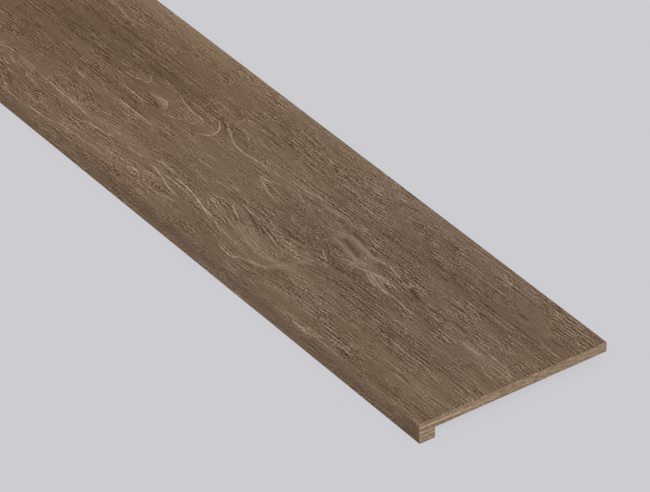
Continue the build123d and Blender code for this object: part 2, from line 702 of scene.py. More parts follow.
# The swirl, with its pale heart and its dark core, and the quiet wood on either side of it
SWIRL_VEINS = (
    Vein(26, 1.4, ((16, 9), (28, 11), (37, 14), (45, 18), (56, 21))),
    Vein(22, 1.5, ((22, 8), (35, 4), (46, 0), (59, -3), (73, -6), (88, -9))),
    Vein(-14, 1.1, ((44, 14), (80, 15))),
    Vein(32, 1.0, ((84, 39), (97, 42), (104, 45), (116, 47))),
    Vein(24, 1.0, ((90, 33), (101, 35), (111, 37))),
    Vein(-21, 1.1, ((93, 29), (103, 31), (113, 33))),
    Vein(18, 3.6, ((124, 39), (137, 39), (150, 42), (164, 44), (181, 47))),
    Vein(-21, 1.2, ((166, 35), (180, 33), (194, 33))),
    Vein(-22, 2.6, ((200, 34), (214, 32), (226, 31), (244, 31))),
    Vein(-18, 1.4, ((236, 36), (262, 36), (292, 34))),
    Vein(22, 3.2, ((192, 22), (200, 22), (212, 25), (226, 25), (238, 22), (250, 22), (262, 19), (282, 19))),
    Vein(-23, 1.4, ((250, 26), (270, 26))),
    Vein(24, 1.8, ((278, 23), (287, 25), (300, 25), (311, 23), (321, 21), (332, 20))),
    Vein(30, 1.2, ((336, 17), (345, 17), (356, 16))),
    Vein(-14, 1.2, ((134, 17), (168, 17))),
    Vein(-20, 3.4, ((206, 17), (220, 12), (236, 9), (247, 7), (258, 4))),
    Vein(22, 3.4, ((192, 8), (206, 4), (216, 4), (227, 2), (238, 1), (248, -1), (259, -4), (270, -8))),
    Vein(28, 1.6, (
        (240, -16), (252, -12), (268, -11), (277, -9), (285, -6), (298, -1), (308, 0), (318, 3),
    )),
    Vein(-18, 1.4, ((270, -15), (284, -12), (294, -9))),
    Vein(20, 4.0, ((290, -5), (299, -8), (311, -11), (322, -13), (334, -14), (344, -13))),
    Vein(30, 1.1, ((286, -7), (297, -11), (309, -15), (322, -17))),
    Vein(34, 1.1, ((290, -3), (302, -7), (315, -10), (330, -13))),
    Vein(26, 1.1, ((298, -1), (312, -3), (328, -7))),
    Vein(-16, 1.1, ((308, -8), (320, -10), (331, -12))),
    Vein(36, 1.3, ((330, -14), (343, -14), (357, -12), (370, -13), (382, -14))),
    Vein(38, 1.0, ((378, -14), (390, -15), (402, -14))),
    Vein(29, 1.2, ((340, 24), (347, 22), (350, 18))),
    Vein(-21, 1.2, ((333, 27), (341, 22))),
    Vein(-34, 2.6, ((352, 17), (362, 15), (380, 12))),
    Vein(-16, 1.4, ((376, 10), (394, 10))),
    Vein(-21, 1.4, ((398, 11), (420, 11), (442, 11))),
    Vein(-18, 1.2, ((440, 17), (462, 17), (482, 16))),
    Vein(-21, 1.2, ((480, 10), (502, 10))),
    Vein(10, 5.0, ((478, 3), (500, 2), (530, 0), (560, 1), (584, 3), (600, 3))),
    Vein(16, 2.0, ((486, 2), (498, 0), (510, -1), (522, 0), (534, 1))),
    Vein(26, 1.2, ((530, 10), (548, 11), (566, 10), (580, 6), (592, 3))),
    Vein(-23, 1.1, ((462, -10), (480, -10))),
    Vein(38, 1.1, ((462, -13), (482, -14))),
    Vein(-21, 1.1, ((460, -17), (482, -18))),
    Vein(20, 1.1, ((546, -14), (560, -15))),
    Vein(23, 1.2, ((560, -18), (580, -18))),
    Vein(-18, 1.2, ((514, -38), (526, -38))),
    Vein(20, 1.4, ((-404, 20), (-374, 20))),
    Vein(20, 1.4, ((-336, 20), (-320, 19))),
    Vein(-16, 1.3, ((-454, -4), (-418, -7))),
    Vein(-14, 3.4, ((-488, -26), (-474, -25))),
    Vein(-16, 1.2, ((-404, -16), (-390, -19), (-374, -21))),
)

# In the order in which the drawing sheets are filled
VEINS = CATHEDRAL_VEINS + SWIRL_VEINS + FRONT_VEINS + BACK_VEINS

# Broad patches of the face, paler or darker than the wood round them
BROAD_CLOUDS = (
    Patch(17, (-440, 150), (260, 24)),
    Patch(9, (60, 150), (380, 20)),
    Patch(7, (-60, -95), (430, 24)),
    Patch(6, (150, -92), (55, 26)),
    Patch(5, (560, -100), (70, 40)),
    Patch(-11, (-420, 45), (190, 44)),
    Patch(-10, (-480, -14), (120, 26)),
    Patch(-4, (-250, 60), (120, 26)),
    Patch(-7, (390, 72), (150, 30)),
    Patch(-5, (190, -20), (60, 22)),
    Patch(-6, (330, -50), (110, 22)),
    Patch(5, (540, 18), (80, 26)),
    Patch(3, (20, 35), (70, 20)),
)

# Smaller ones at the loops, the arc and the swirl, from the far end to the near one
FACE_CLOUDS = (
    Patch(-6, (-225, -8), (40, 8)),
    Patch(12, (-221, 9), (20, 6)),
    Patch(5, (30, 10), (12, 9)),
    Patch(-7, (130, -38), (34, 8)),
    Patch(15, (168, -144), (14, 8)),
    Patch(7, (185, -58), (36, 17)),
    Patch(6, (216, -64), (13, 18)),
    Patch(-10, (268, -27), (26, 8)),
    Patch(7, (268, -5), (20, 6)),
    Patch(20, (268, 4), (18, 8)),
    Patch(20, (322, 2), (24, 7)),
    Patch(-5, (340, -31), (60, 9)),
)

# Those of the nosing's front, at its near end: a darker patch, then a thin pale strip beside the arris with
# the end, which is a painted highlight
NOSING_PATCHES_AND_HIGHLIGHT = (
    Patch(-9, (584, -168), (26, 14)),
    # Painted highlight: a pale strip on the nosing's front along its arris with the near end
    Patch(9, (599, -168), (4, 16)),
)

# The figure's patches, together with the painted highlight on the nosing's front
CLOUDS_AND_HIGHLIGHT = BROAD_CLOUDS + FACE_CLOUDS + NOSING_PATCHES_AND_HIGHLIGHT

# Where the colour leans to the warm side, or to the cool one
WARM_PLACES = (
    Patch(-0.26, (330, 80), (130, 80)),
    Patch(-0.15, (-280, 40), (120, 40)),
    Patch(-0.2, (420, 2), (180, 14)),
    Patch(0.3, (560, -140), (110, 40)),
    Patch(0.16, (-60, -140), (120, 40)),
)

# Where the fine grain is stronger than elsewhere, or weaker
BUSY_PLACES = (
    Patch(-0.25, (-470, 0), (130, 60)),
    Patch(0.2, (-420, -100), (80, 40)),
    Patch(-0.3, (-420, 140), (260, 25)),
    Patch(-0.3, (-228, 6), (34, 12)),
    Patch(-0.35, (-80, 64), (30, 16)),
    Patch(-0.22, (-60, -15), (130, 35)),
    Patch(0.4, (-30, -90), (45, 22)),
    Patch(-0.25, (0, -172), (600, 14)),
    Patch(0.3, (80, -60), (40, 22)),
    Patch(0.25, (130, 85), (120, 40)),
    Patch(-0.35, (214, -70), (20, 26)),
    Patch(-0.35, (222, 12), (34, 14)),
    Patch(0.4, (260, 30), (110, 45)),
    Patch(-0.2, (300, 4), (46, 14)),
    Patch(-0.2, (480, -20), (120, 25)),
    Patch(-0.2, (560, -130), (100, 30)),
    Patch(-0.4, (590, -172), (60, 18)),
)

# Where the grain swerves round something under the face
BURLS = (
    Patch(16, (-60, -85), (130, 70)),
    Patch(-20, (180, -80), (80, 50)),
    Patch(-8, (120, 80), (160, 60)),
    Patch(14, (-420, -110), (110, 60)),
    Patch(9, (300, 5), (60, 35)),
)


@dataclass(frozen=True)
class Figure:
    """The wood's own drawing: where its rings, grain, veins and patches run, and where a painted highlight
    lies.

    Attributes:
        heart: Across where the trunk's middle lies below the face, at places along.
        heart_depth: How deep the trunk's middle lies, at places along, rising to the loops.
        veins: The single lines that stand out.
        clouds_and_highlight: Where the wood is paler, or darker, in steps of tone, and the painted
            highlight on the nosing's front.
        busy_places: Where the fine grain is stronger, or weaker, as a share of itself.
        warm_places: Where the colour is warmer, or cooler.
        warmth: How warm the colour is, at places along.
        burls: Where the grain swerves, by how far it is pushed across.
        soft_width: The half width from which a vein is a soft band and no line of its own.
        soft_calm: How far a soft band quiets the fine grain at its middle.
        crisp_calm: How far a narrow vein does.
        calmest: The least that the fine grain may come to, where 0 is its usual strength.
        band_reach: How far out a soft band is drawn, in half widths.
        band_tip: How strong a soft band still is at its very tips.
        thinning: The power that a narrow vein thins out by.
        vein_window: How far from a narrow vein it starts to fade out, and where it has gone.
        vein_far: The distance that a sheet holds away from its veins, in half widths.
        vein_clear: How far apart the veins on one sheet keep, in millimetres.
    """

    heart: tuple[Point, ...] = ((-600, 20), (-100, 20), (60, 11), (200, 11), (320, 2), (600, 4))
    heart_depth: tuple[Point, ...] = (
        (-600, 22), (-400, 33), (-300, 39), (-200, 47), (-128, 52), (-100, 57),
        (-30, 60), (60, 57.5), (180, 52), (300, 42), (450, 52), (600, 60),
    )
    veins: tuple[Vein, ...] = VEINS
    clouds_and_highlight: tuple[Patch, ...] = CLOUDS_AND_HIGHLIGHT
    busy_places: tuple[Patch, ...] = BUSY_PLACES
    warm_places: tuple[Patch, ...] = WARM_PLACES
    warmth: tuple[Point, ...] = ((-260, 1.0), (120, 0.26))
    burls: tuple[Patch, ...] = BURLS
    soft_width: float = 2.4
    soft_calm: float = 0.55
    crisp_calm: float = 0.45
    calmest: float = -0.8
    band_reach: float = 3.0
    band_tip: float = 0.3
    thinning: float = 0.6
    vein_window: Point = (2.8, 4.8)
    vein_far: float = 8.0
    vein_clear: float = 8.0

    @staticmethod
    def eased(along: np.ndarray, points: Sequence[Point]) -> np.ndarray:
        """Reads a value that eases from one point to the next.

        Args:
            along: Where to read it.
            points: Places along, and the value at each.

        Returns:
            The values.
        """
        places, values = np.array(points).T
        index = np.clip(np.searchsorted(places, along) - 1, 0, len(places) - 2)
        share = np.clip((along - places[index]) / (places[index + 1] - places[index]), 0.0, 1.0)
        share = share * share * (3.0 - 2.0 * share)
        return values[index] + (values[index + 1] - values[index]) * share

    def grain(self, places: Places) -> np.ndarray:
        """Across as the grain sees it, so that equal values follow one fibre."""
        return places.across - Patch.total(self.burls, places)

    def ring(self, places: Places) -> np.ndarray:
        """The distance from the trunk's middle, which equal rings share."""
        side = self.grain(places) - self.eased(places.along, self.heart)
        return np.hypot(side, self.eased(places.along, self.heart_depth))

    def warm(self, places: Places) -> np.ndarray:
        """How far each place goes from the cool colour to the warm one, from 0 to 1."""
        warmth = self.eased(places.along, self.warmth) + Patch.total(self.warm_places, places)
        return np.clip(warmth, 0.0, 1.0)

    def soft_layers(self, places: Places) -> tuple[np.ndarray, np.ndarray]:
        """Works out what the paler and darker patches with the painted highlight, the busy places and the
        soft bands do.

        Args:
            places: Where to work them out.

        Returns:
            How much paler each place is, and how much stronger its fine grain.
        """
        tone = Patch.total(self.clouds_and_highlight, places)
        busy = Patch.total(self.busy_places, places)
        for vein in self.veins:
            soft = vein.width >= self.soft_width
            wide = max(vein.width, self.soft_width)
            trace = vein.trace(places, self.band_reach * wide)
            body = self.band_tip + (1.0 - self.band_tip) * trace.body
            body *= np.exp(-((trace.distance / wide) ** 2))
            busy[trace.near] -= body * (self.soft_calm if soft else self.crisp_calm)
            if soft:
                tone[trace.near] += body * vein.tone
        return tone, np.maximum(busy, self.calmest)

    def sheets(self) -> list[list[Vein]]:
        """Deals out the narrow veins so that those on one sheet keep clear of one another.

        Returns:
            The veins of each sheet.
        """
        dealt: list[list[Vein]] = [[] for _ in SHEETS]
        for vein in self.veins:
            if vein.width >= self.soft_width:
                continue
            room = [self.clearance(vein, others) for others in dealt]
            clear = (i for i, gap in enumerate(room) if gap > self.vein_clear)
            chosen = next(clear, int(np.argmax(room)))
            if room[chosen] < self.vein_clear:
                log.warning("vein at %s is only %.1f mm clear", vein.points[0], room[chosen])
            dealt[chosen].append(vein)
        return dealt

    @staticmethod
    def clearance(vein: Vein, others: Sequence[Vein]) -> float:
        """The shortest distance from a vein to any of the others."""
        gaps = [np.linalg.norm(vein.path[:, None] - other.path, axis=2).min() for other in others]
        return float(min(gaps, default=math.inf))

    def draw_sheet(self, veins: Sequence[Vein], places: Places) -> tuple[np.ndarray, np.ndarray]:
        """Works out one sheet's two layers.

        Args:
            veins: The sheet's veins.
            places: Where to work them out.

        Returns:
            The distances in half widths, and the strengths.
        """
        gap = np.full_like(places.along, self.vein_far)
        tone = np.zeros_like(places.along)
        full, gone = self.vein_window
        for vein in veins:
            trace = vein.trace(places, gone)
            window = np.clip((gone - trace.distance) / (gone - full), 0.0, 1.0)
            inside = trace.distance < gone
            gap[trace.near[inside]] = trace.left[inside] / vein.width
            tone[trace.near[inside]] = (vein.tone * trace.body**self.thinning * window)[inside]
        return gap, tone


@dataclass(frozen=True)
class Streak:
    """One size of soft streak in the wood.

    Attributes:
        length: How long one is, in millimetres.
        width: How wide one is, in millimetres.
        amount: How strongly it changes the tone.
        slice: Which slice of the noise it is cut from.
    """

    length: float
    width: float
    amount: float
    slice: float

    def draw(self, graph: Graph, along: Field, across: Field) -> Field:
        """The change of tone that the streaks make, about zero.

        Args:
            graph: The finish's tree.
            along: Place along them, in millimetres.
            across: Place across them, in millimetres.

        Returns:
            The change.
        """
        place = graph.vector(along / self.length, across / self.width, self.slice)
        return graph.noise(place) * self.amount


@dataclass(frozen=True)
class Hatch:
    """Close parallel lines of pores and lime, which start and stop in small bundles.

    Attributes:
        length: How long a bundle is, in millimetres.
        width: How wide a bundle is, in millimetres.
        pitch: How far apart its lines lie, in millimetres.
        amount: How strongly they change the tone.
        slant: How far they lean from the board's length, in degrees.
        shift: Which part of the pattern is used.
    """

    length: float
    width: float
    pitch: float
    amount: float
    slant: float
    shift: float

    def draw(self, graph: Graph, along: Field, across: Field) -> Field:
        """The change of tone that the lines make, about zero.

        Args:
            graph: The finish's tree.
            along: Place along the grain, in millimetres.
            across: Place across the grain, in millimetres.

        Returns:
            The change.
        """
        leaning = across + along * math.tan(math.radians(self.slant))
        values = {
            "Vector": graph.vector(along / self.length + self.shift, leaning / self.width, 0.0),
            "Scale": 1.0,
            "Frequency": self.width / self.pitch,
            "Anisotropy": 1.0,
            "Orientation": math.pi / 2,
        }
        lines = graph.field("ShaderNodeTexGabor", "Value", values, gabor_type="2D")
        return (lines - 0.5) * (2.0 * self.amount)


# The brushed grain's grooves and ridges, the same for the mesh and for its finish
BRUSHED = (Streak(55, 11, 0.75, 0.7), Streak(30, 6.4, 0.75, 5.3))


@dataclass(frozen=True)
class Spot:
    """The point of the board that a finish is being worked out for, in millimetres.

    Attributes:
        along: Place on the length.
        behind: Distance behind the nosing's front face.
        below: Distance under the walking face.
    """

    along: Field
    behind: Field
    below: Field


@dataclass(frozen=True)
class Coat:
    """What a finish comes to.

    Attributes:
        colour: Its colour.
        fine: Its fine grain, in steps of tone about zero.
        brushed: The height of the grooves and ridges brushed into it, about zero.
    """

    colour: Field
    fine: Field
    brushed: Field | float = 0.0


@dataclass(frozen=True)
class Oak:
    """What every finish of the board shares: how a tone becomes a colour, and the shader.

    Tones are steps of display lightness, from 0 to 255, so that they can be read off a picture.

    Attributes:
        name: The material's name.
        tone: The finish's own tone.
        low: The darkest tone that it can show.
        high: The palest.
        stops: How many colours are set between those two.
        above: How far its red, green and blue are above its tone.
        gloss_light: The light that its gloss adds to each colour.
        least_light: The least that is left of a colour without it.
        roughness: How rough it is.
        specular: How strongly it shines.
        bump: How strongly its relief catches the light.
        bump_distance: How deep its relief reads.
        fine_lift: How high the fine grain stands for each step of its tone.
        fine_shine: How much less rough it is for each step.
        brushed_lift: How high the brushed grooves and ridges stand.
    """

    name: str = "oak"
    tone: float = 100.0
    low: float = 50.0
    high: float = 160.0
    stops: int = 7
    above: Rgb = (16.0, -4.0, -21.5)
    gloss_light: float = 0.015
    least_light: float = 0.01
    roughness: float = 0.6
    specular: float = 0.25
    bump: float = 0.25
    bump_distance: float = 0.2 * MM
    fine_lift: float = 0.05
    fine_shine: float = 0.004
    brushed_lift: float = 0.3

    def colour(self, tone: float) -> Rgb:
        """The oak's own colour where it shows at one tone, less what its gloss adds."""
        shown = (linear(tone + above) - self.gloss_light for above in self.above)
        return tuple(max(light, self.least_light) for light in shown)

    def ramp(self, graph: Graph, tone: Field) -> Field:
        """Turns tones into colours.

        Args:
            graph: The finish's tree.
            tone: The tone at each place.

        Returns:
            The colour at each place.
        """
        span = self.high - self.low
        marks = [i / (self.stops - 1) for i in range(self.stops)]
        stops = [(mark, self.colour(self.low + span * mark)) for mark in marks]
        return graph.field("ShaderNodeValToRGB", "Color", {"Fac": (tone - self.low) / span}, stops=stops)

    def draw(self, graph: Graph, spot: Spot) -> Coat:
        """Draws the finish.

        Args:
            graph: The finish's tree.
            spot: Where it is worked out.

        Returns:
            What it comes to there.
        """
        raise NotImplementedError

    def material(self, front: float, top: float) -> bpy.types.Material:
        """Builds the finish.

        Args:
            front: Where the nosing's front face stands, in metres.
            top: The walking face's height, in metres.

        Returns:
            The material.
        """
        material = bpy.data.materials.new(self.name)
        graph = Graph.of(material)
        x, y, z = graph.parts(graph.field("ShaderNodeTexCoord", "Object"))
        coat = self.draw(graph, Spot(x * PER_MM, (y - front) * PER_MM, (top - z) * PER_MM))
        relief = {
            "Strength": self.bump,
            "Distance": self.bump_distance,
            "Height": coat.fine * self.fine_lift + coat.brushed * self.brushed_lift,
        }
        looks = {
            "Base Color": coat.colour,
            "Roughness": coat.fine * -self.fine_shine + self.roughness,
            "Specular IOR Level": self.specular,
            "Normal": graph.field("ShaderNodeBump", "Normal", relief),
        }
        shader = graph.field("ShaderNodeBsdfPrincipled", "BSDF", looks)
        graph.add("ShaderNodeOutputMaterial", {"Surface": shader})
        return material


@dataclass(frozen=True)
class LimedOak(Oak):
    """The finish of the walking face and the nosing's front: brushed oak with pale limed grain.

    Attributes:
        ring_streak: The streaks that follow the rings.
        grain_streak: The long streaks that follow the grain.
        fine_streaks: The fine grain, from long to short.
        hatches: The close lines of pores, from long bundles to short ones at a slant.
        patches: Where the fine grain comes and goes.
        waver: How a vein's line wavers, in its half widths.
        beads: How a vein's strength comes and goes.
        vein_strength: How strong a vein is on average.
        even_from: How far behind the front the long streaks start to fade.
        even_to: How far behind the front they have faded.
        evenness: How far they fade.
        front_tint: The tint of the nosing's front.
        front_from: How far below the walking face that tint starts.
        front_to: How far below it is full.
        warm_tint: The tint of the warm places.
    """

    name: str = "limed_oak"
    tone: float = 98.9
    above: Rgb = (15.4, -4.0, -20.2)
    ring_streak: Streak = Streak(260, 22, 2.4, 1.7)
    grain_streak: Streak = Streak(300, 16, 2.4, 4.1)
    fine_streaks: tuple[Streak, ...] = (
        Streak(90, 5, 2.0, 7.9),
        Streak(40, 3, 2.8, 2.3),
        Streak(14, 2.6, 4.2, 8.3),
        Streak(3.0, 2.2, 8.4, 6.1),
    )
    hatches: tuple[Hatch, ...] = (
        Hatch(110, 12, 6.2, 11.0, -1, 7.4),
        Hatch(34, 12, 5.8, 14.0, -2, 0.3),
        Hatch(18, 12, 5.4, 19.0, -6, 3.4),
        Hatch(13, 11, 5.4, 15.0, -24, 5.7),
        Hatch(13, 11, 5.4, 11.0, 16, 9.2),
    )
    patches: Streak = Streak(40, 16, 0.3, 12.5)
    waver: Streak = Streak(8, 8, 0.35, 14.2)
    beads: Streak = Streak(7, 7, 0.3, 15.9)
    vein_strength: float = 1.2
    even_from: float = 205.0
    even_to: float = 240.0
    evenness: float = 0.8
    front_tint: Rgb = (1.0, 1.0, 0.95)
    front_from: float = 1.0
    front_to: float = 5.0
    warm_tint: Rgb = (1.045, 1.0, 0.87)

    def draw(self, graph: Graph, spot: Spot) -> Coat:
        """Draws the grain, the paler and darker patches with the painted highlight, the veins and the close
        lines between them.

        Args:
            graph: The finish's tree.
            spot: Where it is worked out.

        Returns:
            What it comes to there.
        """
        ring, grain, cloud_and_highlight, busy, warm = (graph.layer(layer.value) for layer in Layer)
        fine = sum(streak.draw(graph, spot.along, grain) for streak in self.fine_streaks)
        hatch = sum(lines.draw(graph, spot.along, grain) for lines in self.hatches)
        broad = self.ring_streak.draw(graph, spot.along, ring)
        broad = broad + self.grain_streak.draw(graph, spot.along, grain)
        broad = broad * (1.0 - spot.behind.over(self.even_from, self.even_to) * self.evenness)
        busy = busy + self.patches.draw(graph, spot.along, grain) + 1.0
        # The paler and darker patches come with the painted highlight on the nosing's front
        tone = self.tone + cloud_and_highlight + broad + (fine + hatch) * busy
        waver = self.waver.draw(graph, spot.along, grain)
        beads = self.beads.draw(graph, spot.along, grain) + self.vein_strength
        for sheet in SHEETS:
            line = (graph.layer(sheet.gap) + waver).hill()
            tone = tone + graph.layer(sheet.tone) * line * beads
        colour = graph.tinted(self.ramp(graph, tone), self.warm_tint, warm)
        front = spot.below.over(self.front_from, self.front_to)
        colour = graph.tinted(colour, self.front_tint, front)
        return Coat(colour, fine, sum(streak.draw(graph, spot.along, grain) for streak in BRUSHED))


@dataclass(frozen=True)
class EndLine:
    """One line across an end: mostly where a paler or darker growth layer of the wood comes out, and once
    painted shade along the panel's lower arris.

    Attributes:
        below: How far under the walking face it starts at the front, in millimetres.
        fall: How many millimetres it falls for each one towards the back.
        width: Half its thickness, in millimetres.
        tone: How much paler it is than the end, or darker where negative.
        start: How far behind the front it is strongest, in millimetres.
        end: How far behind the front it has gone, in millimetres.
    """

    below: float
    fall: float
    width: float
    tone: float
    start: float
    end: float


@dataclass(frozen=True)
class CutEnd(Oak):
    """The finish of the two ends: paler oak, with lines of its growth layers running from front to back, a
    painted highlight beside the nosing's front and painted shade along the panel's lower arris.

    Attributes:
        panel_tone: How much paler the panel's end is than the nosing's.
        panel_from: How far behind the front it starts to turn paler.
        panel_full: How far behind the front it is at its palest.
        arris_highlight_tone: How much paler the painted highlight beside the nosing's front is.
        arris_highlight_middle: How far behind the front that painted highlight lies.
        arris_highlight_width: Half its width.
        beds_and_shade: The growth layers that show, and the line of painted shade along the panel's lower
            arris.
        wave: How the beds waver.
        grain: The sawn grain, from long to short.
    """

    name: str = "cut_end"
    tone: float = 116.0
    above: Rgb = (17.3, -3.7, -24.7)
    bump: float = 0.15
    panel_tone: float = 6.0
    panel_from: float = 18.0
    panel_full: float = 60.0
    arris_highlight_tone: float = 14.0
    arris_highlight_middle: float = 1.6
    arris_highlight_width: float = 1.4
    beds_and_shade: tuple[EndLine, ...] = (
        EndLine(6.4, 0.026, 1.2, 40, 22, 190),
        EndLine(10.6, 0.012, 1.2, -9, 30, 150),
        EndLine(15.4, 0.0, 1.1, 48, 24, 30),
        EndLine(17.9, 0.0, 1.0, -8, 24, 30),
        EndLine(20.6, 0.0, 1.1, 22, 24, 30),
        EndLine(25.8, 0.0, 1.0, 12, 24, 30),
        EndLine(28.6, 0.0, 1.0, 7, 24, 30),
        EndLine(28.2, 0.0, 2.0, -15, 6, 15),
        EndLine(10.4, 0.0, 1.4, 9, 8, 20),
        # Painted shade: a darker line at the height of the panel's lower arris, from front to back
        EndLine(15.0, 0.0, 1.8, -10, 305, 306),
    )
    wave: Streak = Streak(70, 30, 0.35, 31.0)
    grain: tuple[Streak, ...] = (
        Streak(60, 2.4, 3.0, 32.0),
        Streak(14, 2.0, 7.0, 33.0),
        Streak(4, 2.6, 7.0, 34.0),
    )

    def draw(self, graph: Graph, spot: Spot) -> Coat:
        """Draws the lines of the growth layers, the painted shade and the painted highlight, and the sawn
        grain between them.

        Args:
            graph: The finish's tree.
            spot: Where it is worked out.

        Returns:
            What it comes to there.
        """
        behind, below = spot.behind, spot.below
        fine = sum(streak.draw(graph, behind, below) for streak in self.grain)
        tone = self.tone + fine + behind.over(self.panel_from, self.panel_full) * self.panel_tone
        # Painted highlight: a pale strip on the end beside its arris with the nosing's front
        tone = tone + ((behind - self.arris_highlight_middle) / self.arris_highlight_width).hill() * self.arris_highlight_tone
        wave = self.wave.draw(graph, behind, below)
        # The growth layers, with the line of painted shade along the panel's lower arris
        for end_line in self.beds_and_shade:
            off = (below - end_line.below + wave - behind * end_line.fall) / end_line.width
            tone = tone + off.hill() * behind.over(end_line.end, end_line.start) * end_line.tone
        return Coat(self.ramp(graph, tone), fine)


@dataclass(frozen=True)
class PlainBack(Oak):
    """The finish of the faces that rest on the stair: plain sawn oak, sealed but not limed.

    Attributes:
        grain: The straight grain, from long to short.
        saw_marks: The faint marks across it.
    """

    name: str = "plain_back"
    tone: float = 114.0
    roughness: float = 0.72
    grain: tuple[Streak, ...] = (
        Streak(300, 30, 3.0, 21.0),
        Streak(60, 4, 3.5, 22.0),
        Streak(12, 1.6, 4.0, 23.0),
    )
    saw_marks: Streak = Streak(3.2, 60, 2.0, 24.0)

    def draw(self, graph: Graph, spot: Spot) -> Coat:
        """Draws plain straight grain, crossed by faint saw marks.

        Args:
            graph: The finish's tree.
            spot: Where it is worked out.

        Returns:
            What it comes to there.
        """
        fine = sum(streak.draw(graph, spot.along, spot.behind + spot.below) for streak in self.grain)
        fine = fine + self.saw_marks.draw(graph, spot.along, spot.behind)
        return Coat(self.ramp(graph, fine + self.tone), fine)


